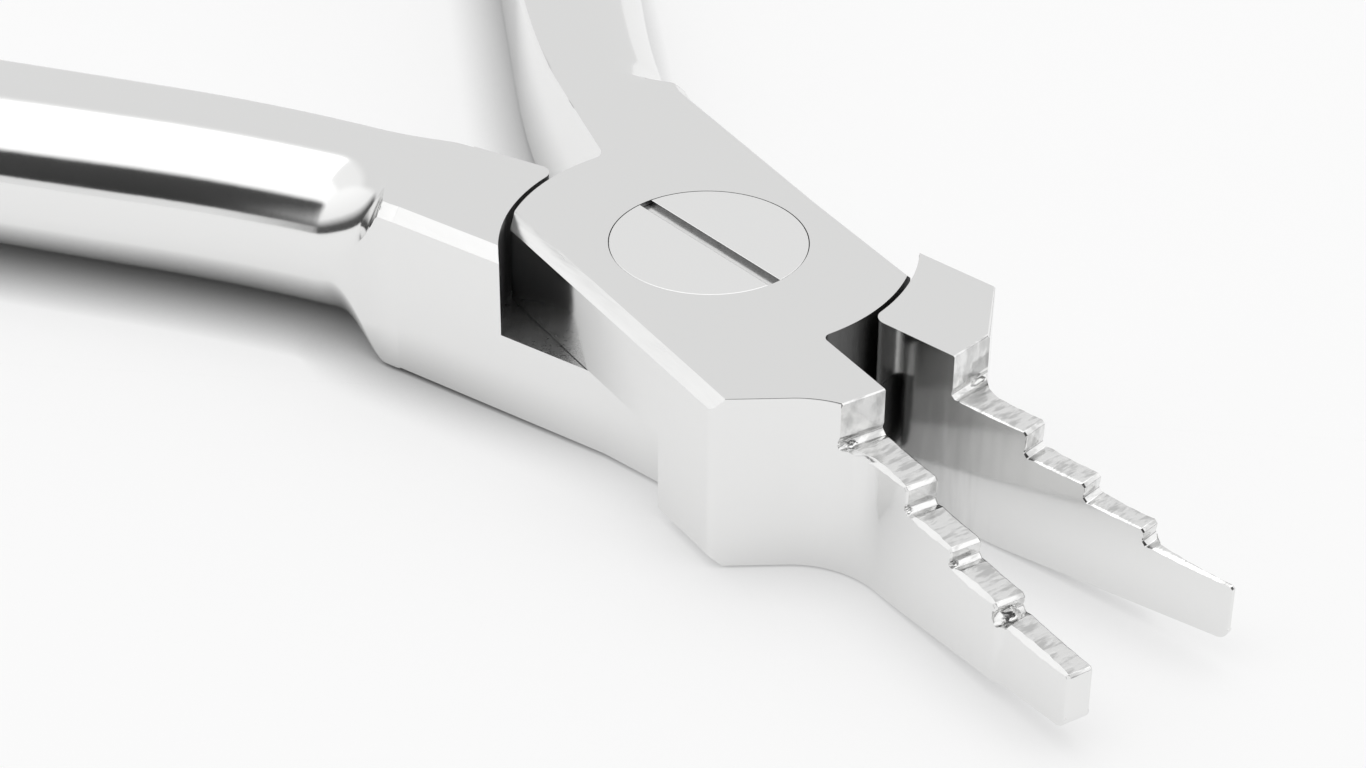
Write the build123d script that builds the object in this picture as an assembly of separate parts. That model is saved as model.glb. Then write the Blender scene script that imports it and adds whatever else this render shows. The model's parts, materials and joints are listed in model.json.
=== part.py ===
"""Step-jaw loop-forming pliers for orthodontic wire: two crossing levers on one slotted pivot screw.

Units are millimetres. The pivot axis is the Z axis and the flat underside of the lap joint lies in Z = 0.
X runs from the pivot towards the tips, halfway between the two jaws. The jaws are modelled partly open.

Each lever is drawn in its own frame first: its axis along X, its jaw on the +Y side, its handle on the -Y side.
The upper lever is drawn the same way and mirrored, with screw holes, jaw, blade and rear width of its own. The
blades of both jaws are stepped on top; the lower lever's thins to a chisel tip.
"""
from build123d import *
from math import asin, cos, degrees, radians, sin, sqrt
import os

# Lap joint
joint_thickness = 8.6
handle_side_width = 6.5
handle_side_bend_x = -0.5
lower_root_width = 7.85
upper_root_width = 6.78
lap_clearance = 0.04
plate_end_radius = 9.2
shoulder_gap = 0.25
side_chamfer = 0.55
handle_side_under_chamfer = 0.15
jaw_side_under_chamfer = 0.5
jaw_notch_radius = 0.4
handle_notch_radius = 0.7
along_share = 0.9
shoulder_corner_radius = 0.7
front_corner_radius = 0.3

# Jaws. A jaw's root: width of the block's side, x of its front corner, slope of its front face, radius into the blade.
# A blade's four thicknesses: at its root, before the last step, after it, and at the tip
half_opening = 8.09
closed_gap = 0.04
lower_jaw = (6.2, 11.45, 55.5, 2.2)
upper_jaw = (6.7, 10.9, 60.6, 4.2)
lower_blade = (1.5, 1.05, 0.6, 0.25)
upper_blade = (1.65, 1.5, 1.42, 1.38)
tip_ease_length = 0.5
step_lengths = (4.0, 3.15, 3.1, 4.5)
first_step_x = 14.0
level_heights = (6.5, 5.35, 4.55, 3.85)
step_root_radius = 0.35
step_lip_radius = 0.14
belly_start_x = 16.5
belly_radius = 30.0
tip_bottom_rise = 1.15
tip_top_radius = 0.3
tip_bottom_radius = 0.6

# Handles
handle_root_x = 13.9
handle_root_gap = 1.03
handle_root_heading = 12.95
handle_splay = 24.5
handle_end_heading = -8.0
splay_radius = 80.0
return_radius = 107.0
straight_length = 14.0
neck_length = 5.2
neck_width = 6.4
grip_width = 7.2
handle_end_width = 5.4
neck_thickness = 8.4
handle_end_thickness = 6.0
handle_end_length = 3.2
inner_edge_radius = 0.7
top_flat_share = 0.4
side_flat_share = 0.03
root_edge_radius = 0.12
neck_shares = (0, 0.2, 0.4, 0.6, 0.8)
neck_blend_shares = (0, 0.3, 0.56, 0.77, 0.92)
grip_share = 0.35
body_steps = 12
end_shares = (0.35, 0.6, 0.8, 0.92, 0.985)

# Pivot screw
head_radius = 4.5
head_height = 1.7
head_clearance = 0.05
shank_radius = 3.0
shank_clearance = 0.03
thread_clearance = 0.01
head_seat_clearance = 0.02
slot_width = 0.68
slot_depth = 0.35
head_edge_break = 0.03
screw_end_chamfer = 0.3

# Cutting bodies run past the metal by this much
overrun = 2.0

half_thickness = joint_thickness / 2
shoulder_radius = plate_end_radius + shoulder_gap
jaw_face_y = closed_gap / 2
screw_reach = head_radius + head_clearance
tip_x = first_step_x + sum(step_lengths)


def jaw_blend_points(jaw, thickness):
    """Where the arc that blends the slope of the jaw root into a blade of this thickness begins and ends."""
    side_width, corner_x, slope, blend_radius = jaw
    run = (side_width - thickness) * cos(radians(slope)) / sin(radians(slope))
    tangent = blend_radius * sin(radians(slope / 2)) / cos(radians(slope / 2))
    meet_x = corner_x + run
    start = (meet_x - tangent * cos(radians(slope)), thickness + tangent * sin(radians(slope)))
    end = (meet_x + tangent, thickness)
    return start, end


def handle_inner_start():
    """Where the handle's inner edge runs into the rear arc of the plate."""
    slope = sin(radians(handle_root_heading)) / cos(radians(handle_root_heading))
    lift = handle_root_x * slope - handle_root_gap
    square = 1 + slope**2
    root = sqrt((lift * slope) ** 2 - square * (lift**2 - plate_end_radius**2))
    x = (-lift * slope - root) / square
    return x, lift + slope * x


def block_plan(jaw, blade, root_width):
    """Plan outline of the joint plate with its jaw and the root of its handle, in the lever's own frame."""
    jaw_side_width, jaw_corner_x, jaw_slope, _ = jaw
    blend_start, blend_end = jaw_blend_points(jaw, blade[0])
    slant = radians(jaw_slope)
    notch_angle = degrees(asin(jaw_face_y / plate_end_radius))
    front_angle = degrees(asin(handle_side_width / plate_end_radius))
    rear_angle = degrees(asin(jaw_side_width / plate_end_radius))
    front_corner_x = sqrt(plate_end_radius**2 - handle_side_width**2)
    rear_corner_x = sqrt(plate_end_radius**2 - jaw_side_width**2)
    inner_start = handle_inner_start()
    inner_angle = degrees(asin(-inner_start[1] / plate_end_radius))
    root_slope = sin(radians(handle_root_heading)) / cos(radians(handle_root_heading))
    root_inner = (-handle_root_x, -handle_root_gap)
    root_outer = (-handle_root_x + (root_width - handle_root_gap) * root_slope, -root_width)
    notch = (plate_end_radius * cos(radians(notch_angle)), jaw_face_y)
    last_step_x = tip_x - step_lengths[-1]
    with BuildLine() as outline:
        Line((tip_x, jaw_face_y), notch)
        CenterArc((0, 0), plate_end_radius, notch_angle, -notch_angle - front_angle)
        Polyline((front_corner_x, -handle_side_width), (handle_side_bend_x, -handle_side_width), root_outer)
        Polyline(root_outer, root_inner, inner_start)
        CenterArc((0, 0), plate_end_radius, 180 + inner_angle, -inner_angle - rear_angle)
        Polyline((-rear_corner_x, jaw_side_width), (jaw_corner_x, jaw_side_width), blend_start)
        TangentArc(blend_start, blend_end, tangent=(cos(slant), -sin(slant)))
        Polyline(blend_end, (last_step_x, blade[1]), (last_step_x + tip_ease_length, blade[2]), (tip_x, blade[3]))
        Line((tip_x, blade[3]), (tip_x, jaw_face_y))
    return make_face(outline.line)


def side_profile():
    """Side outline of the block and jaw in the XZ plane: the stepped top, the tip and the rising belly."""
    rear_x = -handle_root_x - overrun
    corners = [(rear_x, 0), (rear_x, joint_thickness), (first_step_x, joint_thickness)]
    radii = [0, 0, step_lip_radius]
    x = first_step_x
    for length, height in zip(step_lengths, level_heights):
        corners += [(x, height), (x + length, height)]
        radii += [step_root_radius, step_lip_radius]
        x += length
    radii[-1] = tip_top_radius
    corners += [(tip_x, tip_bottom_rise), (belly_start_x, 0)]
    radii += [tip_bottom_radius, belly_radius]
    with BuildSketch(Plane.XZ) as sketch:
        with BuildLine():
            FilletPolyline(*corners, radius=radii, close=True)
        make_face()
    return sketch.sketch


def handle_path(distance):
    """Point on the handle's inner edge, and its heading away from -X, at a distance from the handle's root."""
    splay_length = splay_radius * radians(handle_splay - handle_root_heading)
    start = radians(handle_root_heading)
    turned = start + min(distance, splay_length) / splay_radius
    x = -handle_root_x - splay_radius * (sin(turned) - sin(start))
    y = -handle_root_gap - splay_radius * (cos(start) - cos(turned))
    straight = min(max(distance - splay_length, 0), straight_length)
    x -= straight * cos(turned)
    y -= straight * sin(turned)
    back = max(distance - splay_length - straight_length, 0) / return_radius
    x -= return_radius * (sin(turned) - sin(turned - back))
    y -= return_radius * (cos(turned - back) - cos(turned))
    return x, y, turned - back


def handle_length():
    """Length of the handle's inner edge from its root to the start of the rounded end."""
    splay_length = splay_radius * radians(handle_splay - handle_root_heading)
    return splay_length + straight_length + return_radius * radians(handle_splay - handle_end_heading)


def handle_section(distance, width, height, top, bottom, edge, shrink):
    """Closed D outline square to the handle, flat inside and rounded outside.

    The top and bottom pairs say how far the flat reaches outwards and how far the outer side rises or drops.
    """
    x, y, heading = handle_path(distance)
    outward = (sin(heading), -cos(heading), 0)
    along = (-cos(heading), -sin(heading), 0)
    inset = width / 2 * (1 - shrink)
    origin = (x + inset * outward[0], y + inset * outward[1], half_thickness)
    plane = Plane(origin, x_dir=outward, z_dir=along)
    width, half, edge = (size * shrink for size in (width, height / 2, edge))
    top_flat, top_side = (size * shrink for size in top)
    under_flat, under_side = (size * shrink for size in bottom)
    with BuildSketch(plane) as sketch:
        with BuildLine():
            Line((0, edge - half), (0, half - edge))
            CenterArc((edge, half - edge), edge, 180, -90)
            Line((edge, half), (top_flat, half))
            EllipticalCenterArc((top_flat, top_side), width - top_flat, half - top_side, start_angle=0, arc_size=90)
            Line((width, top_side), (width, -under_side))
            EllipticalCenterArc(
                (under_flat, -under_side), width - under_flat, half - under_side, start_angle=270, arc_size=90
            )
            Line((under_flat, -half), (edge, -half))
            CenterArc((edge, edge - half), edge, 270, -90)
        make_face()
    return sketch.sketch


def between(start, end, share):
    """The value that lies at a share of the way from start to end."""
    return start + (end - start) * share


def body_size(share):
    """Width and thickness of the handle at a share of its length: widest at the grip, slimmer towards the end."""
    ends = (neck_width, grip_share) if share < grip_share else (handle_end_width, 1 - grip_share)
    width = between(grip_width, ends[0], ((share - grip_share) / ends[1]) ** 2)
    return width, between(neck_thickness, handle_end_thickness, share**2)


def handle(root_width):
    """The handle: it grows out of the square joint block, becomes half-round within the neck and ends rounded."""
    root_depth = (root_width - handle_root_gap) / cos(radians(handle_root_heading))
    first = (neck_width * top_flat_share, neck_thickness * side_flat_share / 2)
    root_top = (root_depth - side_chamfer, half_thickness - side_chamfer)
    root_under = (root_depth - handle_side_under_chamfer, half_thickness - handle_side_under_chamfer)
    sections = []
    for share, blend in zip(neck_shares, neck_blend_shares):
        width = between(root_depth, neck_width, share)
        height = between(joint_thickness, neck_thickness, share)
        top = [between(start, end, blend) for start, end in zip(root_top, first)]
        bottom = [between(start, end, blend) for start, end in zip(root_under, first)]
        edge = between(root_edge_radius, inner_edge_radius, blend)
        sections.append(handle_section(neck_length * share, width, height, top, bottom, edge, 1))
    total = handle_length()
    for step in range(body_steps + 1):
        width, height = body_size(step / body_steps)
        flat = (width * top_flat_share, height * side_flat_share / 2)
        distance = between(neck_length, total, step / body_steps)
        sections.append(handle_section(distance, width, height, flat, flat, inner_edge_radius, 1))
    for share in end_shares:
        distance = total + handle_end_length * share
        sections.append(
            handle_section(distance, width, height, flat, flat, inner_edge_radius, sqrt(1 - share**2))
        )
    return loft(sections, ruled=True)


def corner_edge(body, x, y, z):
    """The upright edge of a body nearest to a point."""
    return body.edges().filter_by(Axis.Z).sort_by_distance((x, y, z))[0]


def side_edges(body, height, side):
    """The straight edges at a height along the block's jaw side (side is 1) or along its handle side (-1)."""
    level = body.edges().filter_by(GeomType.LINE).filter_by_position(Axis.Z, height, height)
    return level.filter_by(
        lambda edge: edge.center().Y * side > screw_reach and abs(edge.tangent_at(0).X) > along_share
    )


def lap_relief(base):
    """The round space for the other lever's plate, from a height upwards past the metal."""
    height = half_thickness + lap_clearance / 2 + overrun
    return Pos(0, 0, base) * Cylinder(shoulder_radius, height, align=(Align.CENTER, Align.CENTER, Align.MIN))


def lever(jaw, blade, root_width, relief_base, plate_z, shoulder_z):
    """A lever with its lap cut from relief_base up: its plate reaches plate_z and its shoulders reach shoulder_z."""
    jaw_side_width, jaw_corner_x, _, _ = jaw
    body = extrude(block_plan(jaw, blade, root_width), joint_thickness)
    body &= extrude(side_profile(), plate_end_radius, both=True)
    body -= lap_relief(relief_base)
    handle_x, handle_y = handle_inner_start()
    for x, y, z, radius in (
        (shoulder_radius, jaw_face_y, shoulder_z, shoulder_corner_radius),
        (-shoulder_radius, handle_y, shoulder_z, shoulder_corner_radius),
        (plate_end_radius, jaw_face_y, plate_z, jaw_notch_radius),
        (handle_x, handle_y, plate_z, handle_notch_radius),
    ):
        body = fillet(corner_edge(body, x, y, z), radius)
    for height, side, size in (
        (joint_thickness, 1, side_chamfer),
        (joint_thickness, -1, side_chamfer),
        (0, 1, jaw_side_under_chamfer),
        (0, -1, handle_side_under_chamfer),
    ):
        body = chamfer(side_edges(body, height, side), size)
    body = fillet(corner_edge(body, jaw_corner_x, jaw_side_width, half_thickness), front_corner_radius)
    return body + handle(root_width)


def lower_lever():
    """The lever whose plate lies underneath, threaded for the pivot screw; its jaw is on the +Y side."""
    relief_base = half_thickness - lap_clearance / 2
    body = lever(lower_jaw, lower_blade, lower_root_width, relief_base, 0, joint_thickness)
    body -= Cylinder(shank_radius + thread_clearance, joint_thickness * 2)
    return Rot(0, 0, half_opening) * body


def upper_lever():
    """The lever whose plate lies on top, bored and counterbored for the pivot screw; its jaw is on the -Y side."""
    body = lever(upper_jaw, upper_blade, upper_root_width, -overrun, joint_thickness, 0)
    body = mirror(body, about=Plane.XZ)
    body -= Cylinder(shank_radius + shank_clearance, joint_thickness * 2)
    counterbore_depth = head_height + head_seat_clearance
    body -= Pos(0, 0, joint_thickness) * Cylinder(screw_reach, counterbore_depth * 2)
    return Rot(0, 0, -half_opening) * body


def pivot_screw():
    """Flat-headed slotted screw, flush above and below, its slot along X."""
    seat = joint_thickness - head_height
    base = (Align.CENTER, Align.CENTER, Align.MIN)
    shank = Cylinder(shank_radius, seat, align=base)
    shank = chamfer(shank.edges().sort_by(Axis.Z)[0], screw_end_chamfer)
    head = Pos(0, 0, seat) * Cylinder(head_radius, head_height, align=base)
    head = chamfer(head.edges().sort_by(Axis.Z)[-1], head_edge_break)
    slot = Pos(0, 0, joint_thickness) * Box(head_radius * 2 + overrun, slot_width, slot_depth * 2)
    return shank + head - slot


os.makedirs("parts", exist_ok=True)
export_step(lower_lever(), "parts/lower_lever.step")
export_step(upper_lever(), "parts/upper_lever.step")
export_step(pivot_screw(), "parts/pivot_screw.step")
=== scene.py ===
# %% [markdown]
# # Loop-forming pliers on a white table
# The tool is three pieces of polished stainless steel: two crossing levers and one slotted pivot screw.
# The packed model fixes where everything is. This script gives it the smooth surfaces, small edge breaks,
# ground steps and reflections of the real steel, all in metres.
# Polished steel has hardly any colour of its own. What one sees in it is the room, so the room is modelled with care.

# %% Load the fixed frame
import json
from math import acos, atan, cos, degrees, pi, radians, sin, sqrt, tan

import bmesh
import bpy
from mathutils import Matrix, Vector, noise

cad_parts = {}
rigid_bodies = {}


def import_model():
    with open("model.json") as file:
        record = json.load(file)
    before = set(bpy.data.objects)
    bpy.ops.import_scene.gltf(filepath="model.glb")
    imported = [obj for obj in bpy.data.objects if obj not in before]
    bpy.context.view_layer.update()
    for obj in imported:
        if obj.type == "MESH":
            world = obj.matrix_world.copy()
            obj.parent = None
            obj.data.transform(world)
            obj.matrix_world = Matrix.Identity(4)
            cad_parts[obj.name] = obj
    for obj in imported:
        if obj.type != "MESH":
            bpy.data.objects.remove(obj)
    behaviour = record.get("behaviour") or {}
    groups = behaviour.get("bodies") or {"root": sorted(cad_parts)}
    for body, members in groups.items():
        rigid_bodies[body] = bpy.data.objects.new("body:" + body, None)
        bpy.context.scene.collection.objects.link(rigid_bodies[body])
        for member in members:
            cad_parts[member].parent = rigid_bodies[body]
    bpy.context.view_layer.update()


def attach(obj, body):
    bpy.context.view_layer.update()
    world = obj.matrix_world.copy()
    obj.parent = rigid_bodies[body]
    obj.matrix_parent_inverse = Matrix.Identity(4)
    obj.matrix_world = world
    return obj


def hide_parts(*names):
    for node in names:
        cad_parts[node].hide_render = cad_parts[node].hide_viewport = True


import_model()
scene = bpy.context.scene
scene.view_settings.view_transform = "Standard"
MM = 0.001

# %% [markdown]
# ## The camera
# The photograph looks down on the jaws from in front and to one side with a long lens.
# The place and the lens were found by matching the round screw head and the straight jaws of the model to the picture.

# %% Set up the camera
CAMERA_PLACE = Vector((95.3, -81.0, 83.7)) * MM
CAMERA_AZIMUTH = radians(50.15)
CAMERA_ELEVATION = radians(33.50)
CAMERA_ROLL = radians(-0.36)
SENSOR_WIDTH = 36.0
FOCAL_LENGTH = 85.6

camera_data = bpy.data.cameras.new("camera")
camera_data.sensor_width = SENSOR_WIDTH
camera_data.lens = FOCAL_LENGTH
camera_data.clip_start = 0.005
camera_data.clip_end = 20.0
camera = bpy.data.objects.new("camera", camera_data)
scene.collection.objects.link(camera)
back = Vector(
    (
        sin(CAMERA_AZIMUTH) * cos(CAMERA_ELEVATION),
        -cos(CAMERA_AZIMUTH) * cos(CAMERA_ELEVATION),
        sin(CAMERA_ELEVATION),
    )
)
level = (-back).to_track_quat("-Z", "Y").to_matrix()
camera.rotation_mode = "QUATERNION"
camera.rotation_quaternion = (Matrix.Rotation(-CAMERA_ROLL, 3, back) @ level).to_quaternion()
camera.location = CAMERA_PLACE
scene.camera = camera
print("camera at", [round(v / MM, 1) for v in CAMERA_PLACE], "mm, lens", FOCAL_LENGTH, "mm")

# %% [markdown]
# ## A small helper for node trees
# Materials, the world and the handles' shape are all node trees here. In the editor one would draw them by hand, but
# long sums read best as short lines. `Sums` makes one node for each call and wires its inputs, which may be numbers
# or the outputs of other nodes.

# %% Helper: math nodes as short calls
class Sums:
    def __init__(self, tree):
        self.tree = tree

    def feed(self, socket, value):
        if isinstance(value, bpy.types.NodeSocket):
            self.tree.links.new(value, socket)
        else:
            socket.default_value = value

    def node(self, kind, feeds=None, **settings):
        """A new node, its inputs given by name or number in feeds."""
        made = self.tree.nodes.new(kind)
        for name, value in settings.items():
            setattr(made, name, value)
        for name, value in (feeds or {}).items():
            self.feed(made.inputs[name], value)
        return made

    def math(self, operation, *values, clamp=False):
        return self.node("ShaderNodeMath", dict(enumerate(values)), operation=operation, use_clamp=clamp).outputs[0]

    def mix(self, start, end, share):
        """The value that lies at a share of the way from start to end."""
        return self.math("MULTIPLY_ADD", share, self.math("SUBTRACT", end, start), start)

    def vector(self, operation, *values):
        made = self.node("ShaderNodeVectorMath", dict(enumerate(values)), operation=operation)
        return next(s for s in made.outputs if s.enabled)

    def blended(self, start, end, share):
        """The vector that lies at a share of the way from start to end."""
        return self.node("ShaderNodeMix", {0: share, 4: start, 5: end}, data_type="VECTOR").outputs[1]

    def xyz(self, x, y, z):
        return self.node("ShaderNodeCombineXYZ", {0: x, 1: y, 2: z}).outputs[0]

    def split(self, vector):
        return self.node("ShaderNodeSeparateXYZ", {0: vector}).outputs


print("Sums can make:", ", ".join(name for name in vars(Sums) if not name.startswith("_")))


# %% Helper: a soft step and a color that darkens
def rise(sums, value, start, end):
    """0 below the start, 1 above the end, smooth between."""
    feeds = {"Value": value, "From Min": start, "From Max": end}
    return sums.node("ShaderNodeMapRange", feeds, interpolation_type="SMOOTHSTEP").outputs["Result"]


def darkened(sums, clear, color, amount):
    """The color where clear is 1, and a darker one where it is 0."""
    dark = [c * (1 - amount) for c in color[:3]] + [1.0]
    return sums.node("ShaderNodeMix", {0: clear, 6: dark, 7: color}, data_type="RGBA").outputs[2]


print("rise and darkened are ready")


# %% [markdown]
# ## What makes a surface look worked
# Noise stands for the marks of tools: even noise for a polishing wheel that went every way, stretched noise for a
# grinding wheel or a brush that went one way. A bump node tilts the light by it and leaves the shape alone. Painted
# shade darkens the steel near the joint, where the jaws shade each other, and streaky stains run down from there, so
# its streaks are noise too, stretched along Z.

# %% Helper: noise, relief, and painted shade with stains
def noise_of(sums, place, scale, detail, roughness=0.5):
    feeds = {"Vector": place, "Scale": scale, "Detail": detail, "Roughness": roughness}
    return sums.node("ShaderNodeTexNoise", feeds).outputs["Fac"]


def bump_of(sums, height, strength, distance, normal=None):
    feeds = {"Strength": strength, "Distance": distance, "Height": height}
    if normal:
        feeds["Normal"] = normal
    return sums.node("ShaderNodeBump", feeds).outputs["Normal"]


# Painted shade near the joint: full up to the first distance from the pivot, gone past the second, its edge ragged by
# streaky stains
SHADE_STAIN_BEGINS, SHADE_STAIN_ENDS, SHADE_STAIN_RAGGED = 0.0105, 0.0165, 0.006
STREAKS_PER_M, STREAK_SHARE = 1500.0, 0.12


def shaded_and_stained(sums, place, color, stain):
    """Paints shade on the steel near the joint, where the jaws shade each other, ragged with streaky stains that run
    down.
    """
    streaks = noise_of(sums, sums.vector("MULTIPLY", place, (1.0, 1.0, STREAK_SHARE)), STREAKS_PER_M, 3.0)
    away = sums.vector("LENGTH", sums.vector("MULTIPLY", place, (1.0, 1.0, 0.0)))
    ragged = sums.math("MULTIPLY_ADD", sums.math("SUBTRACT", streaks, 0.5), SHADE_STAIN_RAGGED, away)
    return darkened(sums, rise(sums, ragged, SHADE_STAIN_BEGINS, SHADE_STAIN_ENDS), color, stain)


print("a stain fades from", SHADE_STAIN_BEGINS / MM, "to", SHADE_STAIN_ENDS / MM, "mm from the pivot")

# %% [markdown]
# ## Six finishes for the levers and one for the screw
# The flats and handles are polished, the faces between the jaws too, but these get painted shade near the joint, with
# streaky stains. The steps are ground across, with painted shade in the deepest grooves. The broken edges are brushed
# along. Inside the joint the steel is painted darker, as painted shade: as milled on the round walls, lapped on the
# plates.
# The screw is turned and a little brighter. One function makes them all, because a worker's finishes differ only in how
# coarse, how deep and which way the marks run, and in their painted shade.

# %% Make the finishes
STEEL_COLOR = (0.84, 0.84, 0.835, 1.0)
GROOVE_DEPTH, SCRATCH_DEPTH, WAVE_DEPTH = 0.00003, 0.00002, 0.00003
CLOUDS_PER_M, SCRATCHES_PER_M, GROOVES_PER_M, WAVES_PER_M = 260.0, 5200.0, 3300.0, 620.0


def steel(name, roughness, cloud, scratch, bump, color=STEEL_COLOR, scale=(1, 1, 1), wave=0.0, stain=0.0, groove_shade=0.0):
    """A steel finish: its roughness, how much clouds and scratches change it, and how deep scratches and waves are.

    Scale stretches the scratches. Two darkenings can be added: painted shade near the joint, with streaky stains that
    run down, and painted shade in the bottoms of the grooves.
    """
    material = bpy.data.materials.new(name)
    material.use_nodes = True
    sums = Sums(material.node_tree)
    shader = material.node_tree.nodes["Principled BSDF"]
    shader.inputs["Base Color"].default_value = color
    shader.inputs["Metallic"].default_value = 1.0
    place = sums.node("ShaderNodeTexCoord").outputs["Object"]
    stretched = sums.vector("MULTIPLY", place, scale)
    clouds = noise_of(sums, place, CLOUDS_PER_M, 3.0)
    scratches = noise_of(sums, stretched, SCRATCHES_PER_M, 4.0, 0.65)
    cloudy = sums.math("MULTIPLY_ADD", sums.math("SUBTRACT", clouds, 0.5), cloud, roughness)
    rough = sums.math("MULTIPLY_ADD", sums.math("SUBTRACT", scratches, 0.5), scratch, cloudy)
    sums.feed(shader.inputs["Roughness"], rough)
    relief = bump_of(sums, scratches, bump, SCRATCH_DEPTH)
    if wave:
        relief = bump_of(sums, noise_of(sums, place, WAVES_PER_M, 1.0), wave, WAVE_DEPTH, relief)
    # Painted shade near the joint, with streaky stains
    if stain:
        sums.feed(shader.inputs["Base Color"], shaded_and_stained(sums, place, color, stain))
    # Painted shade in the bottoms of the grooves
    if groove_shade:
        grooves = noise_of(sums, stretched, GROOVES_PER_M, 3.0)
        relief = bump_of(sums, grooves, 1.0, GROOVE_DEPTH, relief)
        sums.feed(shader.inputs["Base Color"], darkened(sums, rise(sums, grooves, 0.34, 0.56), color, groove_shade))
    sums.feed(shader.inputs["Normal"], relief)
    return material


polished = steel("polished_steel", roughness=0.1, cloud=0.05, scratch=0.04, bump=0.03, wave=0.12)
# Jaw faces: painted shade near the joint, where the jaws shade each other, with streaky stains
jaw_faces = steel("jaw_face_steel", roughness=0.09, cloud=0.05, scratch=0.06, bump=0.05, wave=0.05, stain=0.3)
# Ground steps: painted shade in the bottoms of their grooves
ground = steel("ground_steel", roughness=0.2, cloud=0.1, scratch=0.2, bump=0.3, scale=(1.0, 0.3, 0.2), groove_shade=0.3)
brushed = steel("brushed_steel", roughness=0.22, cloud=0.1, scratch=0.3, bump=0.35, scale=(0.06, 0.7, 1.0))
# Dark steel for the notch walls, the bore and the slot walls: its dark colour is painted shade in these recesses
milled_in_painted_shade = steel(
    "milled_steel_in_painted_shade", roughness=0.42, cloud=0.2, scratch=0.3, bump=0.8, color=(0.2, 0.2, 0.2, 1.0), scale=(1, 1, 0.15)
)
# Lap faces: a darker colour, as painted shade inside the joint
lap_faces = steel("lap_face_steel", roughness=0.3, cloud=0.2, scratch=0.3, bump=0.3, color=(0.5, 0.5, 0.5, 1.0))
turned = steel("turned_screw_steel", roughness=0.11, cloud=0.05, scratch=0.06, bump=0.05, color=(0.9, 0.9, 0.895, 1.0))
FINISHES = (polished, jaw_faces, ground, brushed, milled_in_painted_shade, lap_faces)
print("finishes:", [m.name for m in FINISHES + (turned,)])

# %% [markdown]
# ## Outlines with rounded corners
# Machined parts are drawn as a plan and a side view, so the jaws are made the same way here.
# `rounded` takes the corners of an outline with a radius for each and returns a dense row of points,
# which keeps the curved faces smooth under mirror-like steel. Work is done in millimetres and scaled at the end.

# %% Helper: arcs and rounded outlines
ARC_ERROR, FINEST_BIT, COARSEST_BIT = 0.0006, radians(2.0), radians(11.0)


def arc_steps(radius, angle):
    """How many straight bits an arc needs: small corners take coarse ones, wide arcs fine ones."""
    step = min(max(2 * acos(1 - ARC_ERROR / radius), FINEST_BIT), COARSEST_BIT)
    return max(2, int(abs(angle) / step) + 1)


def arc(center, radius, start, end):
    """Points on an arc from one angle to another, both included."""
    count = arc_steps(radius, end - start)
    angles = [start + (end - start) * i / count for i in range(count + 1)]
    return [(center[0] + radius * cos(a), center[1] + radius * sin(a)) for a in angles]


def rounded(corners):
    """An outline whose corners (x, y, radius) are replaced by arcs; radius 0 keeps the corner."""
    points = []
    for i, (x, y, radius) in enumerate(corners):
        here = Vector((x, y))
        if radius == 0:
            points.append((x, y))
            continue
        before = (Vector(corners[i - 1][:2]) - here).normalized()
        after = (Vector(corners[(i + 1) % len(corners)][:2]) - here).normalized()
        half = before.angle(after) / 2
        center = here + (before + after).normalized() * radius / sin(half)
        start = here + before * radius / tan(half) - center
        end = here + after * radius / tan(half) - center
        turn = start.angle_signed(end)
        first = start.to_3d()
        count = arc_steps(radius, turn)
        for k in range(count + 1):
            spun = Matrix.Rotation(-turn * k / count, 3, "Z") @ first
            points.append((center.x + spun.x, center.y + spun.y))
    return points


def circle(radius):
    return arc((0, 0), radius, 0, 2 * pi)[:-1]


print("a circle of 3 mm has", len(circle(3.0)), "points")

# %% [markdown]
# ## Solid shapes from outlines
# A prism through an outline stands for a blank or for what a cutter takes away. Prisms are cut, joined and intersected
# by the exact boolean solver, on bmeshes, so that no modifier is left on the finished piece. After each cut, points
# that all but coincide are joined and the faces of one plane become one face again.

# %% Helper: prisms and booleans
WELD, SAME_PLANE = 0.0005, radians(0.05)


def solid(bottom, top):
    """A closed mesh between two rings of the same number of points, the first under the second."""
    mesh = bmesh.new()
    rings = [[mesh.verts.new(p) for p in ring] for ring in (bottom, top)]
    count = len(bottom)
    mesh.faces.new(rings[0])
    mesh.faces.new(rings[1])
    for i in range(count):
        mesh.faces.new((rings[0][i], rings[0][(i + 1) % count], rings[1][(i + 1) % count], rings[1][i]))
    bmesh.ops.recalc_face_normals(mesh, faces=mesh.faces)
    return mesh


def prism(outline, low, high):
    """A plan outline extruded upwards from one height to another."""
    return solid([(x, y, low) for x, y in outline], [(x, y, high) for x, y in outline])


def make_object(name, mesh):
    data = bpy.data.meshes.new(name)
    mesh.to_mesh(data)
    mesh.free()
    made = bpy.data.objects.new(name, data)
    scene.collection.objects.link(made)
    return made


def combine(body, tool, operation, flatten=True):
    """Cuts, joins or intersects the body with the tool, both bmeshes, and returns the new bmesh."""
    base, other = make_object("base", body), make_object("tool", tool)
    step = base.modifiers.new("combine", "BOOLEAN")
    step.operation = operation
    step.solver = "EXACT"
    step.object = other
    result = bmesh.new()
    result.from_object(base, bpy.context.evaluated_depsgraph_get())
    for used in (base, other):
        data = used.data
        bpy.data.objects.remove(used)
        bpy.data.meshes.remove(data)
    if flatten:
        bmesh.ops.remove_doubles(result, verts=result.verts, dist=WELD)
        bmesh.ops.dissolve_limit(result, angle_limit=SAME_PLANE, verts=result.verts, edges=result.edges)
    return result


def together(first, second):
    """Both meshes in one, so that one step can cut with both."""
    carrier = bpy.data.meshes.new("carrier")
    second.to_mesh(carrier)
    second.free()
    first.from_mesh(carrier)
    bpy.data.meshes.remove(carrier)
    return first


def cut(body, *tools):
    """The body with each of the tools taken away."""
    for tool in tools:
        body = combine(body, tool, "DIFFERENCE")
    return body


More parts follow.
